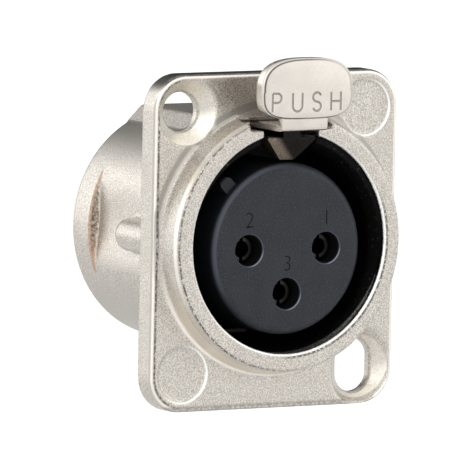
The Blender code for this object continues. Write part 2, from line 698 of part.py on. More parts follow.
finish_piece(make_shell(PARTS), "cast_nickel")
finish_piece(make_insert(PARTS), "insert_plastic")
finish_piece(make_carrier(PARTS), "carrier_plastic")
for contact_name, (contact_x, contact_z) in CONTACT_PLACES.items():
    finish_piece(make_contact(contact_name, contact_x, contact_z, PARTS), "contact_metal")
finish_piece(make_ground(PARTS), "contact_metal")
finish_piece(make_lever(PARTS), "lever_nickel")
finish_piece(make_hook(PARTS), "spring_steel")
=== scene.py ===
"""Looks for a flange-mounted XLR panel socket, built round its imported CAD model."""

import json
import math

import bpy
from bpy.props import FloatProperty, FloatVectorProperty, IntProperty, PointerProperty
from mathutils import Matrix, Vector


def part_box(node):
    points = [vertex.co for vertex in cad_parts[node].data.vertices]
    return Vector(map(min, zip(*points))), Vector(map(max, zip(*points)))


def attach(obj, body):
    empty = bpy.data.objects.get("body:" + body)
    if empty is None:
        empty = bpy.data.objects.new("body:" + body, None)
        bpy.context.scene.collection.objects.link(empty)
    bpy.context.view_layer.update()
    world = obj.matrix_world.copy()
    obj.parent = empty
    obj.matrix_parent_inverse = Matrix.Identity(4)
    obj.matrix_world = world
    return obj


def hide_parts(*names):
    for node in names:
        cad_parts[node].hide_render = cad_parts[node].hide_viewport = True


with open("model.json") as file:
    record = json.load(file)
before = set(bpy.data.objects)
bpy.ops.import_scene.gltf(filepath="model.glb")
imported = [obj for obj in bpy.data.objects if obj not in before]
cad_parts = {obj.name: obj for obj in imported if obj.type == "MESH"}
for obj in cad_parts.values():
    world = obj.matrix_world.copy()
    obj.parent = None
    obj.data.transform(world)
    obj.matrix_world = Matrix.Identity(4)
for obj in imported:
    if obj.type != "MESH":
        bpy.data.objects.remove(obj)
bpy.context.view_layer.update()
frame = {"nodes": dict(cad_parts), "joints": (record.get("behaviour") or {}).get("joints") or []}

bl_info = {
    "name": "XLR panel socket",
    "version": (1, 0, 0),
    "blender": (4, 5, 0),
    "location": "3D View > Sidebar > Panel socket",
    "description": "Builds the visible pieces and finishes of a panel socket on its CAD frame",
    "category": "Object",
}

MM = 0.001

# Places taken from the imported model
SHELL_LOW, SHELL_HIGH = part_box("shell")
SHELL_FACE, SHELL_END = SHELL_LOW.y, SHELL_HIGH.y
LEVER_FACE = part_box("push_lever")[0].y
JOINT_PLACES = {joint["child"]: Vector(joint["pos_m"]) for joint in frame["joints"]}
CONTACT_BOXES = {name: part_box(name) for name in ("contact_1", "contact_2", "contact_3")}
CONTACTS = {name: ((low.x + high.x) / 2, (low.z + high.z) / 2) for name, (low, high) in CONTACT_BOXES.items()}

# Flange, with heights over its centre
FLANGE_WIDTH, FLANGE_HEIGHT, FLANGE_CORNER = 26.0 * MM, 31.0 * MM, 3.3 * MM
FLANGE_FRONT = SHELL_FACE + 2.7 * MM
FLANGE_BACK = FLANGE_FRONT + 2.2 * MM
FLANGE_MIDDLE = (FLANGE_FRONT + FLANGE_BACK) / 2
CENTRE_Z = SHELL_LOW.z + FLANGE_HEIGHT / 2
SCREW_X, SCREW_Z = 9.5 * MM, 12.0 * MM
SINK_RADIUS, PAD_RADIUS = 3.05 * MM, 2.6 * MM

# Flats on the barrel's sides: their middle over the flange's centre, half their height, and their rear end
FLAT_LIFT, FLAT_REACH = 0.6 * MM, 5.3 * MM
FLAT_BACK = FLANGE_BACK + 13.1 * MM

# Tab: half its width, the height of its widest place, and the height and squareness of each part of its outline
TAB_HALF, TAB_WAIST = 4.85 * MM, 14.15 * MM
TAB_ABOVE, TAB_BELOW = (3.1 * MM, 2.8), (2.52 * MM, 3.5)

# Hook: the upper corners that its pointed front would have, and the heights of its nose and its tip
HOOK_CORNER_X, HOOK_CORNER_Z = 3.83 * MM, 10.92 * MM
HOOK_NOSE, HOOK_TIP = 9.8 * MM, 7.58 * MM

# Photo: its side, its scale at the flange's front, and where the flange's centre is in it
PHOTO_PIXELS = 470
PIXELS_PER_MM = 10.916
CENTRE_ACROSS, CENTRE_DOWN = 274.3, 240.5


def length(name, value, description):
    """Setting for a length, given in millimetres."""
    return FloatProperty(name=name, default=value * MM, unit="LENGTH", precision=5, description=description)


def turn(name, value, description):
    """Setting for an angle, given in degrees."""
    return FloatProperty(name=name, default=math.radians(value), subtype="ANGLE", description=description)


def tone(name, value, description):
    """Setting for a colour."""
    return FloatVectorProperty(name=name, subtype="COLOR", default=value, description=description)


class ShellSizes(bpy.types.PropertyGroup):
    """Sizes of the die-cast shell."""

    flange_width: length("Flange width", FLANGE_WIDTH / MM, "Width of the flange")
    flange_height: length("Flange height", FLANGE_HEIGHT / MM, "Height of the flange")
    corner: length("Flange corner", FLANGE_CORNER / MM, "Radius of the flange's corners")
    edge: length("Flange edge", 0.4, "Rounding of the flange's front edge")
    boss: length("Boss radius", 11.85, "Radius of the raised ring round the mouth")
    barrel: length("Barrel radius", 10.75, "Radius of the barrel behind the flange")
    bore: length("Bore radius", 9.5, "Radius of the bore that takes the plug")
    grain: length("Casting softness", 0.13, "Size of the finest form that the casting keeps")


class TabSizes(bpy.types.PropertyGroup):
    """Sizes of the push lever's tab."""

    edge: length("Tab edge", 0.24, "Rounding of the tab's edges")
    letter_height: length("Letter height", 1.7, "Height of the word on the tab")
    letter_stroke: length("Letter stroke", 0.2, "Width of the strokes in the tab, which are half as deep")


class InsertSizes(bpy.types.PropertyGroup):
    """Sizes of the contact insert."""

    radius: length("Insert radius", 7.92, "Radius of the insert's front")
    edge: length("Insert edge", 0.9, "Rounding of the insert's front edge")
    digit_height: length("Number height", 1.5, "Height of the contact numbers")
    steps: IntProperty(name="Round steps", default=160, min=24, description="Steps round the insert")


class FinishColours(bpy.types.PropertyGroup):
    """Colours of the finishes."""

    nickel: tone("Cast nickel", (0.60, 0.565, 0.513), "Satin nickel on the casting")
    bright_nickel: tone("Lever nickel", (0.71, 0.667, 0.61), "Smoother nickel on the lever")
    copper: tone("Copper layer", (0.50, 0.345, 0.25), "Copper under the nickel where it has worn through")
    steel: tone("Spring steel", (0.016, 0.015, 0.014), "Dark spring steel of the hook")
    insert: tone("Insert plastic", (0.0155, 0.0175, 0.0225), "Dark plastic of the insert")
    carrier: tone("Carrier plastic", (0.018, 0.018, 0.02), "Black plastic of the rear carrier")
    contact: tone("Contact metal", (0.66, 0.58, 0.44), "Plated metal of the contacts")


class StageSettings(bpy.types.PropertyGroup):
    """Camera and floor."""

    yaw: turn("Camera yaw", 31.1, "Turn of the camera to the socket's left")
    elevation: turn("Camera elevation", 5.9, "Height of the camera over the socket's axis")
    roll: turn("Camera roll", -1.2, "Roll of the camera")
    distance: length("Camera distance", 1000.0, "Distance of the camera")
    view_height: length("View height", PHOTO_PIXELS / PIXELS_PER_MM, "Height of the picture at the socket")
    floor_drop: length("Floor drop", 60.0, "Height of the socket's axis over the floor")


# Modelling helpers


def up(height):
    """Height over the plug's axis of a height over the flange's centre."""
    return CENTRE_Z + height


def mode(name):
    """Go to edit mode or to object mode."""
    bpy.ops.object.mode_set(mode=name)


def clear_selection():
    """Leave edit mode and select nothing."""
    if bpy.context.object and bpy.context.object.mode != "OBJECT":
        mode("OBJECT")
    bpy.ops.object.select_all(action="DESELECT")


def only(piece):
    """Make one piece the active and only selected object."""
    clear_selection()
    piece.select_set(True)
    bpy.context.view_layer.objects.active = piece
    return piece


def settle(piece, name):
    """Put a piece's place and turn into its mesh."""
    only(piece)
    bpy.ops.object.transform_apply(location=True, rotation=True, scale=True)
    piece.name = piece.data.name = name
    return piece


def outward(piece, name):
    """Point the faces of a piece in edit mode outwards, and settle it."""
    bpy.ops.mesh.select_all(action="SELECT")
    bpy.ops.mesh.normals_make_consistent(inside=False)
    mode("OBJECT")
    return settle(piece, name)


def apply(piece, kind, **settings):
    """Add a modifier to a piece and apply it."""
    only(piece)
    modifier = piece.modifiers.new(kind.title(), kind)
    for key, value in settings.items():
        setattr(modifier, key, value)
    bpy.ops.object.modifier_apply(modifier=modifier.name)
    return piece


def bar(name, radius, front, back, x=0.0, z=0.0, steps=96, axis="Y"):
    """Cylinder along an axis, from front to back."""
    clear_selection()
    middle = (front + back) / 2
    place = (x, middle, z) if axis == "Y" else (middle, x, z)
    rotation = (math.pi / 2, 0.0, 0.0) if axis == "Y" else (0.0, math.pi / 2, 0.0)
    bpy.ops.mesh.primitive_cylinder_add(vertices=steps, radius=radius, depth=back - front, location=place,
                                        rotation=rotation)
    return settle(bpy.context.object, name)


def block(name, low, high):
    """Box between two corners."""
    clear_selection()
    low, high = Vector(low), Vector(high)
    bpy.ops.mesh.primitive_cube_add(size=1.0, location=(low + high) / 2)
    bpy.context.object.scale = [abs(v) for v in high - low]
    return settle(bpy.context.object, name)


def drawn(points):
    """Line through points, started from a plane merged to one point; the line stays in edit mode."""
    clear_selection()
    bpy.ops.mesh.primitive_plane_add(size=1.0 * MM, location=points[0])
    mode("EDIT")
    bpy.ops.mesh.select_mode(type="VERT")
    bpy.ops.mesh.select_all(action="SELECT")
    bpy.ops.mesh.merge(type="CENTER")
    for start, end in zip(points, points[1:]):
        step = [there - here for here, there in zip(start, end)]
        bpy.ops.mesh.extrude_vertices_move(TRANSFORM_OT_translate={"value": step})
    bpy.ops.mesh.select_all(action="SELECT")
    return bpy.context.object


def traced(name, outline, low, high, axis="Y"):
    """Outline filled and extruded along Y, from (x, z) points, or along X, from (y, z) points."""
    across = axis == "Y"
    piece = drawn([(u, low, v) if across else (low, u, v) for u, v in outline])
    bpy.ops.mesh.edge_face_add()
    away = (0.0, high - low, 0.0) if across else (high - low, 0.0, 0.0)
    bpy.ops.mesh.extrude_region_move(TRANSFORM_OT_translate={"value": away})
    return outward(piece, name)


def turned(name, profile, x=0.0, z=0.0, steps=96):
    """Profile of (radius, y) points spun round a line along Y, closed at both ends on the axis."""
    piece = drawn([(x + radius, y, z) for radius, y in profile])
    bpy.ops.mesh.spin(steps=steps, angle=2 * math.pi, center=(x, 0.0, z), axis=(0.0, 1.0, 0.0))
    bpy.ops.mesh.select_all(action="SELECT")
    bpy.ops.mesh.remove_doubles(threshold=1e-6)
    return outward(piece, name)


def lettering(name, text, height, thin, depth):
    """Solid letters lying in the XZ plane and facing the front, centred on x = 0 with their feet at z = 0."""
    size_of_capital = 1.38
    clear_selection()
    bpy.ops.object.text_add(location=(0.0, 0.0, 0.0))
    label = bpy.context.object
    data = label.data
    data.body, data.size, data.align_x = text, height * size_of_capital, "CENTER"
    data.offset, data.extrude, data.resolution_u = -thin, depth, 6
    bpy.ops.object.convert(target="MESH")
    label.rotation_euler = (math.pi / 2, 0.0, 0.0)
    settle(label, name)
    mode("EDIT")
    bpy.ops.mesh.select_all(action="SELECT")
    bpy.ops.mesh.remove_doubles(threshold=1e-7)
    return outward(label, name)


def strokes(name, paths, width, y):
    """Round-ended tubes along (x, z) paths that lie on a face at y, one for each path."""
    tubes = []
    for path in paths:
        drawn([(x, y, z) for x, z in path])
        mode("OBJECT")
        bpy.ops.object.convert(target="CURVE")
        curve = bpy.context.object.data
        curve.bevel_depth, curve.bevel_resolution, curve.use_fill_caps = width / 2, 2, True
        bpy.ops.object.convert(target="MESH")
        tubes.append(settle(bpy.context.object, name))
    return tubes


def stretch(piece, travel):
    """Draw a turned piece out along Z, half the travel each way from its middle."""
    points = piece.data.vertices
    middle = sum(point.co.z for point in points) / len(points)
    for side in (1.0, -1.0):
        only(piece)
        mode("EDIT")
        bpy.ops.mesh.select_mode(type="VERT")
        bpy.ops.mesh.select_all(action="DESELECT")
        mode("OBJECT")
        for point in points:
            point.select = (point.co.z - middle) * side > 1e-6
        mode("EDIT")
        bpy.ops.transform.translate(value=(0.0, 0.0, side * travel / 2))
        mode("OBJECT")
    return piece


def soften(piece, width, steps, chosen):
    """Bevel the edges of a piece that a test on their two ends chooses."""
    only(piece)
    mode("EDIT")
    bpy.ops.mesh.select_mode(type="EDGE")
    bpy.ops.mesh.select_all(action="DESELECT")
    mode("OBJECT")
    points = piece.data.vertices
    for edge in piece.data.edges:
        a, b = (points[i].co for i in edge.vertices)
        edge.select = bool(chosen(a, b))
    mode("EDIT")
    bpy.ops.mesh.bevel(offset=width, segments=steps, affect="EDGES", clamp_overlap=True)
    mode("OBJECT")
    return piece


def combine(target, tools, operation="DIFFERENCE", own_finish=False):
    """Cut tools from a piece, or join them to it, and remove the tools; a tool may leave its own finish."""
    for tool in tools:
        only(target)
        modifier = target.modifiers.new("Combine", "BOOLEAN")
        modifier.operation = operation
        modifier.solver = "EXACT" if own_finish else "MANIFOLD"
        if own_finish:
            modifier.material_mode = "TRANSFER"
        modifier.object = tool
        bpy.ops.object.modifier_apply(modifier=modifier.name)
        bpy.data.objects.remove(tool, do_unlink=True)
    return target


def arc(radius, start, end, steps, centre=(0.0, 0.0)):
    """Points on an arc, from one angle in degrees to another."""
    return [
        (centre[0] + radius * math.cos(angle), centre[1] + radius * math.sin(angle))
        for angle in (math.radians(start + (end - start) * i / steps) for i in range(steps + 1))
    ]


def rounded(corners, steps=6):
    """Outline with round corners, from (u, v, radius) corners in order."""
    points = []
    for index, (u, v, radius) in enumerate(corners):
        corner = Vector((u, v))
        before = (Vector(corners[index - 1][:2]) - corner).normalized()
        after = (Vector(corners[(index + 1) % len(corners)][:2]) - corner).normalized()
        if radius <= 0.0:
            points.append((u, v))
            continue
        half = before.angle(after) / 2
        centre = corner + (before + after).normalized() * radius / math.sin(half)
        start = corner + before * radius / math.tan(half) - centre
        end = corner + after * radius / math.tan(half) - centre
        sweep = start.angle_signed(end)
        for step in range(steps + 1):
            points.append(tuple(centre + Matrix.Rotation(-sweep * step / steps, 2) @ start))
    return points


def cast_over(piece, size, most):
    """Give a piece the soft edges of a casting: fine remesh, smoothing, and fewer faces on its flats."""
    grown = size * 1.0
    apply(piece, "REMESH", mode="VOXEL", voxel_size=grown, use_smooth_shade=True)
    apply(piece, "SMOOTH", factor=0.5, iterations=3)
    apply(piece, "TRIANGULATE")
    if len(piece.data.polygons) > most:
        apply(piece, "DECIMATE", ratio=most / len(piece.data.polygons))
    only(piece)
    bpy.ops.object.shade_smooth()
    apply(piece, "WEIGHTED_NORMAL", mode="FACE_AREA", weight=50, keep_sharp=False)
    return piece


def smooth_shaded(piece, angle):
    """Shade a piece smooth, but for edges that turn by more than an angle in degrees."""
    only(piece)
    bpy.ops.object.shade_smooth_by_angle(angle=math.radians(angle))
    return piece


def finish_piece(piece, material, slot, body, *nodes):
    """Give a piece its finish and its body, and let it stand for its CAD nodes."""
    if not any(piece.data.materials):
        piece.data.materials.clear()
        piece.data.materials.append(material)
    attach(piece, body)
    if nodes:
        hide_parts(*nodes)
    return piece


# Shader wiring


class Wire:
    """A shader socket that takes Python arithmetic: each sign adds a Math node."""

    def __init__(self, board, socket):
        self.board = board
        self.socket = socket

    def _math(self, operation, *values):
        return self.board.add("ShaderNodeMath", {"operation": operation}, values)

    def __add__(self, other):
        return self._math("ADD", self, other)

    def __radd__(self, other):
        return self._math("ADD", other, self)

    def __sub__(self, other):
        return self._math("SUBTRACT", self, other)

    def __rsub__(self, other):
        return self._math("SUBTRACT", other, self)

    def __mul__(self, other):
        return self._math("MULTIPLY", self, other)

    def __rmul__(self, other):
        return self._math("MULTIPLY", other, self)

    def __truediv__(self, other):
        return self._math("DIVIDE", self, other)

    def __pow__(self, other):
        return self._math("POWER", self, other)

    def __gt__(self, other):
        return self._math("GREATER_THAN", self, other)

    def __abs__(self):
        return self._math("ABSOLUTE", self)

    def larger(self, other):
        return self._math("MAXIMUM", self, other)

    def smaller(self, other):
        return self._math("MINIMUM", self, other)

    def between(self, low, high):
        """0 at low, 1 at high, smooth in between."""
        return self.board.add("ShaderNodeMapRange", {"interpolation_type": "SMOOTHSTEP"},
                              {"Value": self, "From Min": low, "From Max": high}, "Result")

    def below(self, low, high):
        """1 at low, 0 at high, smooth in between."""
        return 1.0 - self.between(low, high)

    def band(self, low, full, fading, high):
        """1 from full to fading, 0 below low and above high."""
        return self.between(low, full) * self.below(fading, high)


class Board:
    """The node tree of one material, or of the world."""

    def __init__(self, name, shelf="materials", surface="Principled BSDF"):
        self.owner = getattr(bpy.data, shelf).new(name)
        self.owner.use_nodes = True
        self.tree = self.owner.node_tree
        self.surface = self.tree.nodes[surface]

    def add(self, kind, settings=None, values=(), output=0):
        """Add a node: settings first, then the values or links of its sockets; returns one output."""
        node = self.tree.nodes.new(kind)
        for key, value in (settings or {}).items():
            setattr(node, key, value)
        pairs = values.items() if isinstance(values, dict) else enumerate(values)
        for key, value in pairs:
            self.plug(node.inputs[key], value)
        return Wire(self, node.outputs[output])

    def plug(self, socket, value):
        """Link a wire to a socket, or set the socket's own value."""
        if isinstance(value, Wire):
            self.tree.links.new(value.socket, socket)
        elif socket.type == "RGBA" and len(value) == 3:
            socket.default_value = (*value, 1.0)
        else:
            socket.default_value = value

    def place(self):
        return self.add("ShaderNodeTexCoord", output="Object")

    def axes(self):
        """The three coordinates on the piece, in millimetres."""
        place = self.place()
        return [self.add("ShaderNodeSeparateXYZ", values=(place,), output=axis) / MM for axis in "XYZ"]

    def noise(self, size, detail=2.0, rough=0.5, stretch=(1.0, 1.0, 1.0)):
        """Noise whose lumps are about one size across, in millimetres."""
        moved = self.add("ShaderNodeMapping", values={"Vector": self.place(), "Scale": stretch})
        return self.add("ShaderNodeTexNoise", values={
            "Vector": moved, "Scale": 1.0 / (size * MM), "Detail": detail, "Roughness": rough})

    def ray(self, kind):
        """1 where a ray of one kind meets the surface."""
        return self.add("ShaderNodeLightPath", output=f"Is {kind} Ray")

    def mix(self, factor, first, second):
        """Mix of two colours."""
        return self.add("ShaderNodeMix", {"data_type": "RGBA"}, {0: factor, 6: first, 7: second}, 2)

    def vary(self, factor, colour, low, high):
        """Mix of two shades of one colour."""
        return self.mix(factor, shade(colour, low), shade(colour, high))

    def washes(self, colour, base, layers):
        """Lay shades of a base colour over a colour, one for each (mask, factor)."""
        for mask, factor in layers:
            colour = self.mix(mask, colour, shade(base, factor))
        return colour

    def bump(self, height, depth, strength=1.0):
        """Relief of a depth in millimetres."""
        return self.add("ShaderNodeBump", values={
            "Strength": strength, "Distance": depth * MM, "Height": height})

    def finish(self, **sockets):
        """Plug the surface's sockets, named in lower case, and give the material or world."""
        for name, value in sockets.items():
            self.plug(self.surface.inputs[name.replace("_", " ").title()], value)
        return self.owner

    def reflect(self, level):
        """Set how strongly a surface that isn't metal reflects."""
        self.surface.inputs["Specular IOR Level"].default_value = level


def shade(colour, factor):
    """A colour made lighter or darker."""
    return tuple(min(1.0, c * factor) for c in colour)


def distance(u, v):
    """Length of a flat vector of two wires."""
    return (u * u + v * v) ** 0.5


# Finish of the casting, with all places in millimetres


class Casting:
    """Places on the casting and its grains: rise is over the flange's centre, mouth the radius round it."""

    def __init__(self, board):
        self.x, self.y, self.z = board.axes()
        self.rise = self.z - CENTRE_Z / MM
        self.mouth = distance(self.x, self.rise)
        self.speck = board.noise(0.11, 2.0, 0.6)
        self.cloud = board.noise(3.2, 3.0, 0.5)
        self.fleck = board.noise(0.3, 2.0, 0.6)
        self.inset = self.flange_inset()
        self.front = FLANGE_FRONT / MM
        self.ahead = self.y.below(self.front + 0.3, self.front + 0.4)
        self.behind = self.y > FLANGE_BACK / MM
        self.raised = self.y.below(0.3, 0.5)

    def flange_inset(self):
        """Depth in from the flange's round-cornered outline."""
        half_width, half_height, corner = (size / MM for size in (
            FLANGE_WIDTH / 2, FLANGE_HEIGHT / 2, FLANGE_CORNER))
        across, height = abs(self.x), abs(self.rise)
        past_x = (across - (half_width - corner)).larger(0.0)
        past_z = (height - (half_height - corner)).larger(0.0)
        straight = (half_width - across).smaller(half_height - height)
        return straight.smaller(corner - distance(past_x, past_z))

    def from_corner(self, right, top):
        """Place measured from the screw hole or pad at one corner of the flange."""
        return self.x - right * SCREW_X / MM, self.rise - top * SCREW_Z / MM


def barrel_painted_shade(at):
    """Painted shade: dark specks under the ridge, and a darker underside of the barrel."""
    # painted shade under the ridge
    ridge_shade = at.rise.band(5.4, 9.4, 9.55, 9.7) * at.behind
    # painted shade on the barrel's underside
    beneath = at.rise.below(-9.0, -2.0) * at.behind
    return [(ridge_shade * at.speck.between(0.3, 0.6) * 0.7, 0.3), (beneath * 0.6, 0.66)]


def worn_flats(at):
    """1 on the rear walls of the barrel's flats, where the nickel has worn off."""
    wall = FLAT_BACK / MM
    tall = abs(at.rise - FLAT_LIFT / MM).below(4.5, 4.9)
    return (abs(at.x) > 5.0) * tall * at.y.band(wall - 0.1, wall - 0.06, wall + 0.14, wall + 0.2)


def worn_colour(board, at, colours):
    """Copper along the wall's outer edge and low down, and flecks of nickel and copper between."""
    flecks = board.mix(at.fleck.between(0.35, 0.65), shade(colours.nickel, 1.2), shade(colours.copper, 0.5))
    low = board.mix(at.rise.below(-2.5, 0.0) * 0.6, flecks, shade(colours.copper, 1.3))
    return board.mix(at.mouth.between(10.42, 10.66) * 0.8, low, colours.copper)


def flange_painted_light(at):
    """Painted light on the flange: a bright bevel with a duller outer half, a dark top, bright countersinks, a
    dark underside and a light boss wall.
    """
    outer = at.inset.below(0.12, 0.2)
    top = outer * at.rise.between(13.7, 14.8)
    layers = [
        # painted highlight on the bevel, painted shade on its outer half and a painted dark reflection on the
        # top
        (at.ahead * at.inset.below(0.3, 0.42) * 0.8, 1.6),
        (outer * at.ahead * at.rise.below(13.0, 14.0) * 0.7, 0.7),
        (top * (0.75 + at.speck.between(0.4, 0.6) * 0.25), 0.12),
    ]
    # painted highlight in each countersink, strongest towards its lower right
    for side in (-1.0, 1.0):
        across, height = at.from_corner(-side, side)
        sink = distance(across, height).below(SINK_RADIUS / MM - 0.15, SINK_RADIUS / MM)
        sink = sink * at.y.below(at.front + 1.2, at.front + 1.3)
        sheen = (across * 0.6 - height).between(1.0, 2.2)
        patchy = 0.7 + at.fleck.between(0.3, 0.55) * 0.3
        layers.append((sink * (0.35 + sheen * 0.55) * patchy, 1.7))
    # painted shade on the flange's underside
    underside = at.ahead * at.rise.below(-15.1, -14.8)
    layers.append((underside * (0.4 + at.fleck.between(0.4, 0.6) * 0.4), 0.45))
    # painted light on the lower left of the boss's wall
    wall = at.mouth.band(11.82, 11.92, 12.4, 12.9) * at.y.band(0.3, 0.6, 2.2, 2.4)
    layers.append((wall * at.rise.below(-8.0, -1.0) * 0.95, 1.66))
    return layers


def pad_painted_highlights(at):
    """Painted highlight: a white crescent on the lower right of each pad's edge."""
    layers = []
    radius = PAD_RADIUS / MM
    for side in (-1.0, 1.0):
        across, height = at.from_corner(side, side)
        ring = distance(across, height).band(radius - 0.1, radius - 0.04, radius + 0.06, radius + 0.14)
        lower_right = (across - height * 0.5).between(-2.0, 1.5)
        # painted highlight on the pad's lower right edge
        layers.append((ring * at.ahead * lower_right * 0.8, 1.9))
    return layers


def boss_painted_light(at):
    """Painted light on the boss: shade on its foot high up, and highlights on its rim and on the mouth's
    chamfer.
    """
    # painted shade on the boss's foot
    foot = at.mouth.band(12.3, 12.4, 13.0, 13.2) * at.rise.between(-6.0, 2.0)
    foot = foot * at.y.band(1.6, 1.9, 2.44, 2.5)
    # painted highlight on the mouth's chamfer, strongest towards the lower right
    chamfer = at.mouth.below(10.34, 10.42) * at.mouth.between(9.9, 10.1) * at.raised
    chamfer = chamfer * (0.35 + (at.x - at.z).between(-6.0, 8.0) * 0.65)
    chamfer = chamfer * (0.55 + at.fleck.between(0.35, 0.55) * 0.45)
    return [
        (foot * 0.8, 0.62),
        # painted highlight on the boss's rim
        (at.raised * at.mouth.between(11.8, 11.88) * 0.8, 1.6),
        (chamfer * 0.9, 1.9),
    ]


def painted_dark_lines(at):
    """Painted dark reflections: dotted dark lines beside the flange's bevel, inside the boss's rim and at the
    mouth's lower right.
    """
    bevel = at.inset.band(0.36, 0.46, 0.56, 0.68) * at.ahead
    bevel = bevel * at.x.below(-11.2, -9.4) * at.fleck.between(0.3, 0.6)
    rim = at.mouth.band(11.58, 11.64, 11.72, 11.82) * at.raised
    rim = rim * (at.x + at.z * 0.15).below(-7.5, 1.5) * at.fleck.between(0.38, 0.54)
    mouth = at.mouth.band(10.36, 10.44, 10.56, 10.66) * at.raised
    mouth = mouth * (at.x * 1.4 - at.z).between(7.0, 12.0) * at.fleck.between(0.35, 0.55)
    # painted dark reflection lines
    return bevel * 0.85 + rim * 0.8 + mouth * 0.8


def bore_painted_shade(at):
    """Mask of the painted shade in the bore: 1 inside the mouth and the bore, less far in."""
    entry = at.mouth.below(10.16, 10.24) * at.y.band(-0.16, -0.06, 1.6, 1.7)
    deeper = distance(at.x, at.z).below(9.6, 9.7) * at.y.between(1.6, 1.7)
    return (entry + deeper) * (1.0 - at.y.between(13.0, 14.0) * 0.6)


def cast_nickel(colours):
    """Satin nickel on a grainy casting, with copper showing on the worn flats, painted light and shade on the
    flange, boss and barrel, and painted dark shade in the bore.
    """
    board = Board("cast_nickel")
    at = Casting(board)
    colour = board.vary(at.speck.between(0.38, 0.62), colours.nickel, 0.68, 1.22)
    clouds = [(at.cloud.between(0.35, 0.7) * 0.2, 0.8), (at.fleck.between(0.6, 0.75) * 0.35, 1.45)]
    # random clouds of tone, then painted shade on the barrel
    colour = board.washes(colour, colours.nickel, clouds + barrel_painted_shade(at))
    worn = worn_flats(at)
    colour = board.mix(worn, colour, worn_colour(board, at, colours))
    # painted highlights, shade and dark reflection lines on the flange, pads and boss
    colour = board.washes(colour, colours.nickel, [
        *flange_painted_light(at), *pad_painted_highlights(at), *boss_painted_light(at), (painted_dark_lines(at), 0.09)])
    # painted dark shade in the bore
    inside = bore_painted_shade(at)
    bore_shade_colour = board.mix(at.fleck.between(0.6, 0.8), (0.01, 0.0095, 0.0095), (0.10, 0.09, 0.08))
    colour = board.mix(inside, colour, bore_shade_colour)
    rough = 0.27 + at.speck.between(0.3, 0.7) * 0.14 + worn * 0.15 + inside * 0.25
    height = at.speck + at.fleck * 0.8 + worn * at.fleck * 1.5
    return board.finish(base_color=colour, metallic=1.0, roughness=rough, normal=board.bump(height, 0.035, 0.6))


# Other finishes


def tab_painted_edge_line(x, y, z):
    """Painted dark reflection: a line just inside the tab's outline, strongest at left and weakest at lower
    right.
    """
    rise = z - up(TAB_WAIST) / MM
    above = rise > 0.0
    power = TAB_BELOW[1] - above * (TAB_BELOW[1] - TAB_ABOVE[1])
    reach = TAB_BELOW[0] / MM + above * ((TAB_ABOVE[0] - TAB_BELOW[0]) / MM)
    outline = (abs(x) / (TAB_HALF / MM)) ** power + (abs(rise) / reach) ** power
    face = LEVER_FACE / MM
    line = outline.band(0.78, 0.83, 0.88, 0.93) * y.below(face + 0.1, face + 0.2)
    return line * (1.35 - (x - rise * 0.5).between(-2.0, 2.0) * 0.5 - rise.between(-2.4, -2.1) * 0.5)


def lever_nickel(colours):
    """Smoother nickel on the lever, with a painted dark reflection line round the tab's face."""
    board = Board("lever_nickel")
    speck = board.noise(0.14, 2.0, 0.6)
    cloud = board.noise(2.4, 2.0, 0.5)
    colour = board.mix(cloud.between(0.3, 0.7), shade(colours.bright_nickel, 0.95), colours.bright_nickel)
    # painted dark reflection line round the tab's face
    colour = board.washes(colour, colours.bright_nickel, [(tab_painted_edge_line(*board.axes()), 0.1)])
    rough = 0.26 + speck.between(0.3, 0.7) * 0.12
    return board.finish(base_color=colour, metallic=1.0, roughness=rough, normal=board.bump(speck, 0.012, 0.4))


def letter_groove_shade(colours):
    """Painted shade on the floor of the strokes: a dull grey."""
    board = Board("letter_groove_shade")
    speck = board.noise(0.1)
    # painted shade in the grooves
    colour = board.vary(speck, colours.bright_nickel, 0.5, 0.62)
    return board.finish(base_color=colour, metallic=1.0, roughness=0.5)


def spring_steel(colours):
    """Dark spring steel with fine marks along the strip, and a painted lighter brown highlight on its sheared
    left side, where light falls.
    """
    board = Board("spring_steel")
    lines = board.noise(0.12, 3.0, 0.6, (1.0, 0.12, 1.0))
    cloud = board.noise(1.1, 2.0, 0.5)
    colour = board.vary(lines.between(0.3, 0.7), colours.steel, 0.75, 1.3)
    colour = board.washes(colour, colours.steel, [(cloud.between(0.5, 0.75) * 0.4, 0.6)])
    x, y, z = board.axes()
    sideways, upwards = 0.731, 0.683
    from_edge = (x + HOOK_CORNER_X / MM) * sideways + (z - up(HOOK_CORNER_Z) / MM) * upwards
    # painted highlight: a lighter brown where light falls on the strip's left side
    lit_left_side = board.mix(lines.between(0.3, 0.7), (0.10, 0.08, 0.06), (0.24, 0.2, 0.155))
    colour = board.mix(from_edge.below(0.55, 1.25) * y.below(3.0, 4.0), colour, lit_left_side)
    return board.finish(base_color=colour, metallic=1.0, roughness=0.34 + lines * 0.14,
                        normal=board.bump(lines, 0.01, 0.4))


def hole_shade_and_highlights(x, z):
    """Masks for the painted shade in the contact holes, and for the painted highlight on the lower right of
    each hole's edge.
    """
    holes, hole_highlights = 0.0, 0.0
    for place_x, place_z in CONTACTS.values():
        across, height = x - place_x / MM, z - place_z / MM
        radius = distance(across, height)
        holes = holes + radius.below(1.42, 1.5)
        # painted highlight on the lower right of each hole's edge
        hole_highlights = hole_highlights + radius.band(1.44, 1.5, 1.52, 1.58) * (0.25 + (across - height).between(1.4, 2.1) * 0.75)
    return holes, hole_highlights


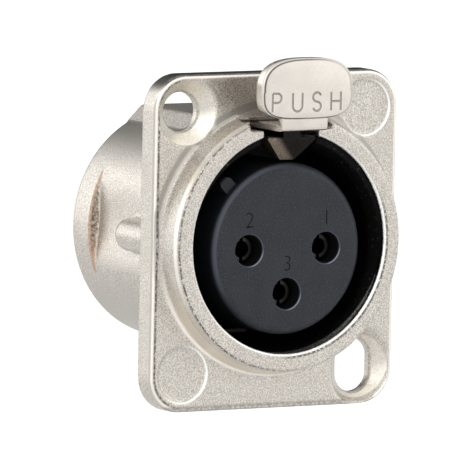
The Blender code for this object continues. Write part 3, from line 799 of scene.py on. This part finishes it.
def insert_plastic(colours):
    """Blue-grey black moulded plastic with a fine matte grain, a painted highlight on the upper left of its
    rim, painted shade on its side and in the contact holes, and painted highlights on the holes' edges.
    """
    board = Board("insert_plastic")
    grain = board.noise(0.15, 2.0, 0.6)
    cloud = board.noise(2.6, 3.0, 0.55)
    colour = board.vary(cloud.between(0.3, 0.7), colours.insert, 0.85, 1.2)
    x, y, z = board.axes()
    out = distance(x, z)
    # painted highlight along the upper left of the rim
    rim_highlight = out.band(7.4, 7.62, 7.74, 7.86) * (x - z * 0.6).below(-7.5, -2.0) * y.below(0.7, 0.9)
    holes, hole_highlights = hole_shade_and_highlights(x, z)
    colour = board.washes(colour, colours.insert, (
        (grain.between(0.52, 0.66) * 0.8, 2.4),
        # painted shade on the insert's side
        (out.between(7.84, 7.9) * 0.8, 0.3),
        # painted highlight on the rim
        (rim_highlight * 0.6, 6.0),
        # painted shade in the contact holes
        (holes * y.between(0.02, 0.16), 0.12),
        # painted highlight on each hole's lower right edge
        (hole_highlights * y.below(0.1, 0.2), 16.0),
    ))
    board.reflect(0.32)
    return board.finish(base_color=colour, roughness=0.4 + grain * 0.12, normal=board.bump(grain, 0.02, 0.35))


def number_plastic(colours):
    """The same plastic, a little darker on the raised numbers: painted shade for their thin strokes."""
    board = Board("number_plastic")
    grain = board.noise(0.12)
    # painted shade on the numbers
    colour = board.vary(grain.between(0.3, 0.7), colours.insert, 0.2, 0.7)
    board.reflect(0.08)
    return board.finish(base_color=colour, roughness=0.45)


def carrier_plastic(colours):
    """Black moulded plastic with faint flow marks."""
    board = Board("carrier_plastic")
    grain = board.noise(0.2, 2.0, 0.6)
    flow = board.noise(1.6, 2.0, 0.5, (1.0, 0.3, 1.0))
    colour = board.vary(flow.between(0.35, 0.7), colours.carrier, 0.8, 1.6)
    return board.finish(base_color=colour, roughness=0.4 + flow * 0.15, normal=board.bump(grain, 0.015, 0.4))


def contact_metal(colours):
    """Plated contacts with turning marks, with painted shade that darkens them at the front, where they stand
    deep in their holes.
    """
    board = Board("contact_metal")
    marks = board.noise(0.2, 2.0, 0.6, (0.3, 2.0, 0.3))
    cloud = board.noise(0.7, 2.0, 0.5)
    colour = board.vary(cloud.between(0.35, 0.7), colours.contact, 0.8, 1.1)
    y = board.axes()[1]
    # painted shade at the front, deep in the holes
    colour = board.mix(y.below(14.0, 17.0) * 0.97, colour, (0.03, 0.029, 0.028))
    return board.finish(base_color=colour, metallic=1.0, roughness=0.24 + marks * 0.16,
                        normal=board.bump(marks, 0.01, 0.4))


FINISHES = {}


def finishes(scene):
    """The finishes, made once."""
    if not FINISHES:
        for maker in (cast_nickel, lever_nickel, letter_groove_shade, spring_steel, insert_plastic, number_plastic,
                      carrier_plastic, contact_metal):
            FINISHES[maker.__name__] = maker(scene.socket_colours)
    return FINISHES


# Pieces


class SOCKET_OT_shell(bpy.types.Operator):
    """Die-cast shell: flange, boss round the mouth, barrel with its ridge, posts, screw holes and pads."""

    bl_idname = "panel_socket.shell"
    bl_label = "Cast shell"

    def execute(self, context):
        size = context.scene.socket_shell
        shell = self.flange(size)
        barrel = self.barrel(size)
        combine(barrel, [self.flat(side, size) for side in (-1, 1)])
        posts = [self.post(side) for side in (-1, 1)]
        combine(shell, [self.boss(size), barrel, self.ridge(), *posts], "UNION")
        combine(shell, self.mouth(size))
        combine(shell, self.latch_way())
        combine(shell, self.screw_holes())
        cast_over(shell, size.grain, 190000)
        finish_piece(shell, finishes(context.scene)["cast_nickel"], "cast_nickel", "housing", "shell")
        return {"FINISHED"}

    @staticmethod
    def flange(size):
        """Flat plate with round corners and a rounded front edge."""
        half_x, half_z = size.flange_width / 2, size.flange_height / 2
        plate = block("cast_shell", (-half_x, FLANGE_FRONT, up(-half_z)), (half_x, FLANGE_BACK, up(half_z)))
        soften(plate, size.corner, 14, lambda a, b: abs(a.y - b.y) > MM)
        return soften(plate, size.edge, 3, lambda a, b: max(abs(p.y - FLANGE_FRONT) for p in (a, b)) < 1e-6)

    @staticmethod
    def boss(size):
        """Raised ring round the mouth, with a round rim and a small fillet at its foot."""
        rim, foot, root = 0.22 * MM, 0.7 * MM, FLANGE_MIDDLE + 0.4 * MM
        profile = [
            (0.0, root), (size.boss + MM, root),
            *arc(foot, 90, 180, 5, (size.boss + MM, FLANGE_FRONT - foot + 0.04 * MM)),
            *arc(rim, 0, -90, 4, (size.boss - rim, SHELL_FACE + rim)), (0.0, SHELL_FACE),
        ]
        return turned("boss", profile, 0.0, up(0.0), 144)

    @staticmethod
    def barrel(size):
        """Barrel behind the flange, with a round edge at its rear."""
        lip, start = 0.5 * MM, FLANGE_MIDDLE - 0.4 * MM
        profile = [
            (0.0, SHELL_END), *arc(lip, 90, 0, 4, (size.barrel - lip, SHELL_END - lip)),
            (size.barrel, start), (0.0, start),
        ]
        return turned("barrel", profile, 0.0, up(0.0), 144)

    @staticmethod
    def ridge():
        """Ridge over the latch channel, with sloping shoulders."""
        foot_half, top_half = 5.1 * MM, 3.45 * MM
        shoulder, top = up(9.4 * MM), up(11.0 * MM)
        return traced("ridge", rounded([
            (-foot_half, up(0.0), 0.0), (foot_half, up(0.0), 0.0), (foot_half, shoulder, 0.8 * MM),
            (top_half, top, 0.5 * MM), (-top_half, top, 0.5 * MM), (-foot_half, shoulder, 0.8 * MM),
        ], 4), FLANGE_MIDDLE - 0.2 * MM, SHELL_END)

    @staticmethod
    def flat(side, size):
        """Cutter for the shallow flat on one side of the barrel, which runs out softly above and below."""
        depth, steps = 1.05 * MM, 20
        line = []
        for step in range(-steps, steps + 1):
            z = FLAT_LIFT + FLAT_REACH * step / steps
            inset = depth * (1.0 - (step / steps) ** 2) ** 2
            line.append((side * (math.sqrt(size.barrel ** 2 - z ** 2) - inset), up(z)))
        outside = side * (size.barrel + MM)
        line += [(outside, up(FLAT_LIFT + FLAT_REACH)), (outside, up(FLAT_LIFT - FLAT_REACH))]
        return traced("flat", line, FLANGE_BACK, FLAT_BACK)

    @staticmethod
    def post(side):
        """Round post along the barrel's side, with a domed end."""
        radius, end = 1.55 * MM, FLANGE_BACK + 7.2 * MM
        profile = [(0.0, end), (radius * 0.6, end - 0.12 * MM), (radius * 0.9, end - 0.45 * MM),
                   (radius, end - 0.9 * MM), (radius, FLANGE_MIDDLE), (0.0, FLANGE_MIDDLE)]
        return turned("post", profile, side * 10.3 * MM, up(0.1 * MM), 40)

    @staticmethod
    def mouth(size):
        """Chamfered mouth, tapered lead-in, bore and the narrower seat behind it."""
        mouth, face = 10.15 * MM, SHELL_FACE
        seat_front, past_end = face + 13.0 * MM, SHELL_END + MM
        lead = turned("lead", [
            (0.0, face + 0.5 * MM), (mouth, face + 0.5 * MM), (mouth, face + 0.14 * MM),
            (mouth + 0.28 * MM, face - 0.14 * MM), (0.0, face - 0.14 * MM),
        ], 0.0, up(0.0), 144)
        clear_selection()
        bpy.ops.mesh.primitive_cone_add(vertices=144, radius1=size.bore - 0.04 * MM, radius2=mouth - 0.04 * MM,
                                        depth=1.34 * MM, location=(0.0, face + 1.13 * MM, up(0.0)),
                                        rotation=(math.pi / 2, 0.0, 0.0))
        taper = settle(bpy.context.object, "taper")
        for point in taper.data.vertices:
            point.select = point.co.y > face + 1.1 * MM
        mode("EDIT")
        bpy.ops.transform.translate(value=(0.0, 0.0, -CENTRE_Z))
        mode("OBJECT")
        bore = bar("bore", size.bore, face + 0.7 * MM, face + 14.6 * MM, steps=144)
        seat = bar("seat", 8.7 * MM, seat_front, past_end, steps=96)
        groove = block("groove", (-1.5 * MM, seat_front, -8.9 * MM), (1.5 * MM, past_end, -8.0 * MM))
        return [lead, taper, bore, seat, groove]

    @staticmethod
    def latch_way():
        """Latch channel, its notch in the boss, the lever's wide slot and the hook's ear pockets."""
        hinge = JOINT_PLACES["hook"]
        start, room = SHELL_FACE - MM, 0.65 * MM
        return [block(name, (-half, *low), (half, *high)) for name, half, low, high in (
            ("channel", 2.9 * MM, (start, 0.0), (FLANGE_FRONT + 13.2 * MM, up(10.45 * MM))),
            ("notch", 2.9 * MM, (start, 0.0), (FLANGE_BACK - 0.3 * MM, up(11.4 * MM))),
            ("slot", 4.35 * MM, (start, up(10.38 * MM)), (FLANGE_FRONT + 1.75 * MM, up(11.15 * MM))),
            ("slot_top", 4.34 * MM, (start, up(10.4 * MM)), (FLANGE_FRONT + 0.02 * MM, up(13.0 * MM))),
            ("ears", 3.6 * MM, (hinge.y - room, hinge.z - room), (hinge.y + room, hinge.z + room)),
        )]

    @staticmethod
    def screw_holes():
        """Countersunk round hole and slot, and the two round pads, which stay bare."""
        radius, drop = 1.8 * MM, 1.45 * MM
        start, past_back = SHELL_FACE - MM, FLANGE_BACK + MM
        profile = [(0.0, past_back), (radius, past_back), (radius, FLANGE_FRONT + drop),
                   (SINK_RADIUS, FLANGE_FRONT), (SINK_RADIUS, start), (0.0, start)]
        hole = turned("hole", profile, -SCREW_X, up(SCREW_Z), 64)
        slot = stretch(turned("slot", profile, SCREW_X, up(-SCREW_Z), 64), 1.35 * MM)
        pads = [bar("pad", PAD_RADIUS, start, FLANGE_FRONT + 0.2 * MM, side * SCREW_X, up(side * SCREW_Z), 64)
                for side in (-1, 1)]
        return [hole, slot, *pads]


class SOCKET_OT_insert(bpy.types.Operator):
    """Contact insert with its key rib, three chamfered holes and thin contact numbers."""

    bl_idname = "panel_socket.insert"
    bl_label = "Contact insert"

    def execute(self, context):
        size = context.scene.socket_insert
        metals = finishes(context.scene)
        radius, edge = size.radius, size.edge
        seat, rear, past_rear = 11.6 * MM, 15.6 * MM, 16.6 * MM
        insert = turned("contact_insert", [
            (0.0, rear), (8.4 * MM, rear), (8.4 * MM, 14.0 * MM), (9.2 * MM, 14.0 * MM), (9.2 * MM, seat),
            (radius, seat), *arc(edge, 0, -90, 8, (radius - edge, edge)), (0.0, 0.0),
        ], steps=size.steps)
        combine(insert, [self.key_rib()], "UNION")
        holes = [turned(name + "_hole", [
            (0.0, past_rear), (1.4 * MM, past_rear), (1.4 * MM, 0.24 * MM), (1.47 * MM, 0.1 * MM),
            (1.9 * MM, -0.3 * MM), (0.0, -0.3 * MM),
        ], x, z, 64) for name, (x, z) in CONTACTS.items()]
        strip_way = block("strip_way", (-1.5 * MM, 11.3 * MM, -9.5 * MM), (1.5 * MM, past_rear, -8.0 * MM))
        combine(insert, [*holes, strip_way])
        smooth_shaded(insert, 28.0)
        finish_piece(insert, metals["insert_plastic"], "insert_plastic", "housing", "socket_insert")
        for name, (x, z) in CONTACTS.items():
            self.number(name[-1], x, z, size, metals)
        return {"FINISHED"}

    @staticmethod
    def key_rib():
        """Key rib at upper left; it stops if the turn went the other way."""
        key = block("key", (6.9 * MM, 0.9 * MM, -0.65 * MM), (9.15 * MM, 11.3 * MM, 0.65 * MM))
        soften(key, 0.5 * MM, 5, lambda a, b: a.x > 9 * MM and b.x > 9 * MM)
        only(key)
        bpy.ops.transform.rotate(value=math.radians(135.0), orient_axis="Y", center_override=(0.0, 0.0, 0.0))
        settle(key, "key")
        place = sum((v.co for v in key.data.vertices), Vector()) / len(key.data.vertices)
        if not (place.x < 0.0 < place.z):
            raise RuntimeError(f"the key rib turned the wrong way: {tuple(place)}")
        return key

    @staticmethod
    def number(text, x, z, size, metals):
        """One thin raised number over its contact."""
        label = lettering("number_" + text, text, size.digit_height, 0.055 * MM, 0.03 * MM)
        label.location = (x, 0.0, z + 2.1 * MM)
        settle(label, label.name)
        finish_piece(label, metals["number_plastic"], "insert_plastic", "housing")


class SOCKET_OT_lever(bpy.types.Operator):
    """Push lever: arched tab with its word, neck, arm and trunnions."""

    bl_idname = "panel_socket.lever"
    bl_label = "Push lever"

    def execute(self, context):
        size = context.scene.socket_tab
        metals = finishes(context.scene)
        tab = traced("lever", self.outline(), LEVER_FACE, LEVER_FACE + 1.25 * MM)
        soften(tab, size.edge, 4, lambda a, b: abs(a.y - b.y) < 1e-7)
        combine(tab, [self.arm()], "UNION")
        tab.data.materials.clear()
        tab.data.materials.append(metals["lever_nickel"])
        letters = self.word(size)
        for letter in letters:
            letter.data.materials.append(metals["letter_groove_shade"])
        combine(tab, letters, own_finish=True)
        smooth_shaded(tab, 30.0)
        finish_piece(tab, metals["lever_nickel"], "lever_nickel", "lever", "push_lever")
        return {"FINISHED"}

    @staticmethod
    def outline():
        """Barrel-shaped outline, fuller below its widest height than above it."""
        steps = 96
        points = []
        for angle in (2 * math.pi * step / steps for step in range(steps)):
            across, rise = math.cos(angle), math.sin(angle)
            height, squareness = TAB_ABOVE if rise > 0.0 else TAB_BELOW
            points.append((math.copysign(TAB_HALF * abs(across) ** (2 / squareness), across),
                           up(TAB_WAIST + math.copysign(height * abs(rise) ** (2 / squareness), rise))))
        return points

    @staticmethod
    def arm():
        """Neck and arm, with a window over the shell's face, and the trunnions at the arm's end."""
        pivot = JOINT_PLACES["lever"]
        half, pin = 2.4 * MM, 0.27 * MM
        bottom, neck_top = up(10.5 * MM), up(12.2 * MM)
        top = bottom + 0.6 * MM
        thin = top - 0.14 * MM
        neck, end = LEVER_FACE + 0.45 * MM, pivot.y + pin
        side = rounded([
            (neck, bottom, 0.4 * MM), (end, bottom, 0.13 * MM), (end, thin, 0.13 * MM), (1.94 * MM, thin, 0.0),
            (1.8 * MM, top, 0.0), (neck + 0.7 * MM, top, 0.3 * MM), (neck + 0.7 * MM, neck_top, 0.0),
            (neck, neck_top, 0.0),
        ], 5)
        arm = traced("arm", side, -half, half, "X")
        pins = bar("pins", pin, -4.05 * MM, 4.05 * MM, pivot.y, pivot.z, 32, "X")
        window = block("window", (-1.2 * MM, SHELL_FACE - 0.3 * MM, bottom - MM),
                       (1.2 * MM, SHELL_FACE + 0.7 * MM, top + MM))
        combine(arm, [pins], "UNION")
        combine(arm, [window])
        return soften(arm, 0.09 * MM, 2, lambda a, b: abs(abs(a.x) - half) < 1e-6 and abs(a.x - b.x) < 1e-7)

    @staticmethod
    def word(size):
        """Cutters for the strokes of the four plain letters."""
        high, wide, bend = size.letter_height, size.letter_height * 0.6, size.letter_height / 4
        half = wide / 2
        shapes = (
            (-3.26, [[(0.0, 0.0), (0.0, high)],
                     [(0.0, high), *arc(bend, 90, -90, 8, (half, high - bend)), (0.0, high - 2 * bend)]]),
            (-1.11, [[(0.0, high), *arc(half, 180, 360, 10, (half, half)), (wide, high)]]),
            (0.95, [arc(bend, 20, 250, 10, (half, high - bend)) + arc(bend, 70, -160, 10, (half, bend))]),
            (2.98, [[(0.0, 0.0), (0.0, high)], [(wide, 0.0), (wide, high)],
                    [(0.0, high / 2), (wide, high / 2)]]),
        )
        foot = up(12.38 * MM)
        placed = [[(middle * MM - half + u, foot + v) for u, v in path]
                  for middle, paths in shapes for path in paths]
        return strokes("stroke", placed, size.letter_stroke, LEVER_FACE)


class SOCKET_OT_hook(bpy.types.Operator):
    """Latch hook: spring-steel strip with its nose, tooth, lip and ears."""

    bl_idname = "panel_socket.hook"
    bl_label = "Latch hook"

    def execute(self, context):
        hook = self.strip()
        combine(hook, [self.shield()], "INTERSECT")
        combine(hook, [self.lip(), self.ears()], "UNION")
        smooth_shaded(hook, 35.0)
        finish_piece(hook, finishes(context.scene)["spring_steel"], "spring_steel", "hook", "latch_hook")
        return {"FINISHED"}

    @staticmethod
    def strip():
        """Strip from the hinge to the high nose at the front, with the tooth under it."""
        hinge, front = JOINT_PLACES["hook"], FLANGE_FRONT
        bottom, nose, tip = up(9.1 * MM), up(HOOK_NOSE), up(HOOK_TIP)
        top = bottom + 0.4 * MM
        return traced("hook", rounded([
            (hinge.y, bottom, 0.0), (hinge.y, top, 0.0), (front - 0.6 * MM, top, 0.1 * MM),
            (front - 0.9 * MM, nose, 0.1 * MM), (SHELL_FACE, nose, 0.12 * MM),
            (SHELL_FACE, bottom + 0.3 * MM, 0.1 * MM), (front - 1.9 * MM, tip, 0.15 * MM),
            (front - 1.2 * MM, tip, 0.12 * MM), (front - 0.9 * MM, bottom, 0.1 * MM),
        ], 4), -2.5 * MM, 2.5 * MM, "X")

    @staticmethod
    def shield():
        """What the strip keeps: its front tapers down to a blunt point."""
        wide, high = HOOK_CORNER_X, up(HOOK_CORNER_Z)
        narrow, low = 0.7 * MM, up(HOOK_TIP) - 0.01 * MM
        return traced("shield", rounded([
            (-wide, high, 0.0), (-narrow, low, 0.3 * MM), (narrow, low, 0.3 * MM), (wide, high, 0.0),
        ]), SHELL_FACE - MM, JOINT_PLACES["hook"].y + MM)

    @staticmethod
    def lip():
        """Narrow lip that stands up from the nose and bends forward over the arm."""
        back, front = SHELL_FACE + 0.4 * MM, SHELL_FACE - 0.75 * MM
        foot, low = up(HOOK_NOSE) - 0.4 * MM, up(11.4 * MM)
        high = low + 0.4 * MM
        return traced("lip", rounded([
            (back, foot, 0.0), (back, high, 0.35 * MM), (front, high, 0.12 * MM), (front, low, 0.12 * MM),
            (SHELL_FACE, low, 0.1 * MM), (SHELL_FACE, foot, 0.0),
        ], 4), -0.9 * MM, 0.9 * MM, "X")

    @staticmethod
    def ears():
        """Round ears on the hinge."""
        hinge = JOINT_PLACES["hook"]
        return bar("ears", 0.35 * MM, -3.3 * MM, 3.3 * MM, hinge.y, hinge.z, 32, "X")


class SOCKET_OT_rear(bpy.types.Operator):
    """Finishes for the rear carrier, the contacts and the ground contact, whose CAD shapes stay."""

    bl_idname = "panel_socket.rear"
    bl_label = "Rear pieces"

    def execute(self, context):
        metals = finishes(context.scene)
        for name, finish in (("rear_carrier", "carrier_plastic"), ("ground_contact", "contact_metal"),
                             *((node, "contact_metal") for node in CONTACTS)):
            node = frame["nodes"][name]
            node.data.materials.clear()
            node.data.materials.append(metals[finish])
        return {"FINISHED"}


class SOCKET_OT_stage(bpy.types.Operator):
    """Pale floor, soft light and the camera."""

    bl_idname = "panel_socket.stage"
    bl_label = "Stage"

    def execute(self, context):
        size = context.scene.socket_stage
        self.camera(context.scene, size)
        self.floor(size)
        self.card()
        self.lamps()
        self.sky(context.scene)
        context.scene.view_settings.view_transform = "Standard"
        return {"FINISHED"}

    @staticmethod
    def camera(scene, size):
        """Camera aimed so that the flange's centre falls where it is in the photo."""
        forward = Vector((math.sin(size.yaw) * math.cos(size.elevation),
                          math.cos(size.yaw) * math.cos(size.elevation), -math.sin(size.elevation)))
        right = Vector((math.cos(size.yaw), -math.sin(size.yaw), 0.0))
        upward = right.cross(forward)
        turned_right = right * math.cos(size.roll) - upward * math.sin(size.roll)
        turned_up = upward * math.cos(size.roll) + right * math.sin(size.roll)
        pixel = size.view_height / PHOTO_PIXELS
        aim = Vector((0.0, FLANGE_FRONT, CENTRE_Z))
        aim += turned_right * (PHOTO_PIXELS / 2 - CENTRE_ACROSS) * pixel
        aim += turned_up * (CENTRE_DOWN - PHOTO_PIXELS / 2) * pixel
        data = bpy.data.cameras.new("camera")
        data.sensor_width = 36.0
        data.sensor_fit = "HORIZONTAL"
        data.lens = data.sensor_width * size.distance / size.view_height
        data.clip_start, data.clip_end = 0.05, 20.0
        camera = bpy.data.objects.new("camera", data)
        scene.collection.objects.link(camera)
        camera.matrix_world = Matrix.LocRotScale(
            aim - forward * size.distance,
            Matrix((turned_right, turned_up, -forward)).transposed().to_quaternion(), None)
        scene.camera = camera

    @staticmethod
    def floor(size):
        """White floor, a little darker in reflections."""
        clear_selection()
        bpy.ops.mesh.primitive_plane_add(size=6.0, location=(0.0, 0.0, -size.floor_drop))
        floor = settle(bpy.context.object, "floor")
        board = Board("floor_white")
        seen = board.ray("Camera") + board.ray("Glossy") * 0.32
        glow = board.mix(seen, (0.0, 0.0, 0.0), (0.56, 0.56, 0.56))
        floor.data.materials.append(board.finish(
            base_color=(0.86, 0.86, 0.86), roughness=0.95, emission_color=glow, emission_strength=1.0))

    @staticmethod
    def card():
        """Dark card out of view behind the socket, which the metal reflects."""
        place = Vector((0.28, 0.61, 0.215))
        board = Board("card_black")
        board.reflect(0.0)
        clear_selection()
        bpy.ops.mesh.primitive_plane_add(size=1.0, location=place)
        card = bpy.context.object
        card.scale = (0.66, 0.45, 1.0)
        card.rotation_euler = (-place).to_track_quat("Z", "Y").to_euler()
        settle(card, "card_back")
        card.data.materials.append(board.finish(base_color=(0.012, 0.012, 0.012), roughness=1.0))
        card.visible_camera = False
        card.visible_shadow = False

    @staticmethod
    def lamps():
        """Square lamps that point at the socket, with their places, powers and sizes."""
        for name, place, power, size in (
            ("key_lamp", (-0.55, -0.75, 0.55), 3.4, 1.2),
            ("fill_lamp", (0.8, -0.6, 0.25), 1.7, 1.0),
            ("side_lamp", (-0.72, 0.74, 0.22), 2.7, 1.0),
        ):
            data = bpy.data.lights.new(name, "AREA")
            data.shape = "SQUARE"
            data.size = size
            data.energy = power
            lamp = bpy.data.objects.new(name, data)
            bpy.context.scene.collection.objects.link(lamp)
            lamp.location = place
            lamp.rotation_euler = (-Vector(place)).to_track_quat("-Z", "Y").to_euler()

    @staticmethod
    def sky(scene):
        """White behind the object for the camera and for reflections, a little dimmer as light."""
        board = Board("white_room", "worlds", "Background")
        seen = board.ray("Camera").larger(board.ray("Glossy")).larger(board.ray("Transmission"))
        scene.world = board.finish(color=(1.0, 1.0, 1.0), strength=0.75 + seen * 0.25)


class SOCKET_PT_panel(bpy.types.Panel):
    """Buttons that build the socket, and its sizes."""

    bl_idname = "SOCKET_PT_panel"
    bl_label = "Panel socket"
    bl_space_type = "VIEW_3D"
    bl_region_type = "UI"
    bl_category = "Panel socket"

    def draw(self, context):
        for operator in OPERATORS:
            self.layout.operator(operator.bl_idname)
        for name in GROUPS:
            box = self.layout.box()
            group = getattr(context.scene, name)
            for prop in group.bl_rna.properties:
                if prop.identifier not in ("name", "rna_type"):
                    box.prop(group, prop.identifier)


GROUPS = {
    "socket_shell": ShellSizes, "socket_tab": TabSizes, "socket_insert": InsertSizes,
    "socket_colours": FinishColours, "socket_stage": StageSettings,
}
OPERATORS = (SOCKET_OT_shell, SOCKET_OT_insert, SOCKET_OT_lever, SOCKET_OT_hook, SOCKET_OT_rear,
             SOCKET_OT_stage)


def register():
    for cls in (*GROUPS.values(), *OPERATORS, SOCKET_PT_panel):
        bpy.utils.register_class(cls)
    for name, group in GROUPS.items():
        setattr(bpy.types.Scene, name, PointerProperty(type=group))


def unregister():
    for name in GROUPS:
        delattr(bpy.types.Scene, name)
    for cls in (SOCKET_PT_panel, *reversed(OPERATORS), *reversed(GROUPS.values())):
        bpy.utils.unregister_class(cls)


def main():
    register()
    bpy.ops.panel_socket.shell()
    bpy.ops.panel_socket.insert()
    bpy.ops.panel_socket.lever()
    bpy.ops.panel_socket.hook()
    bpy.ops.panel_socket.rear()
    bpy.ops.panel_socket.stage()


if __name__ == "__main__":
    main()
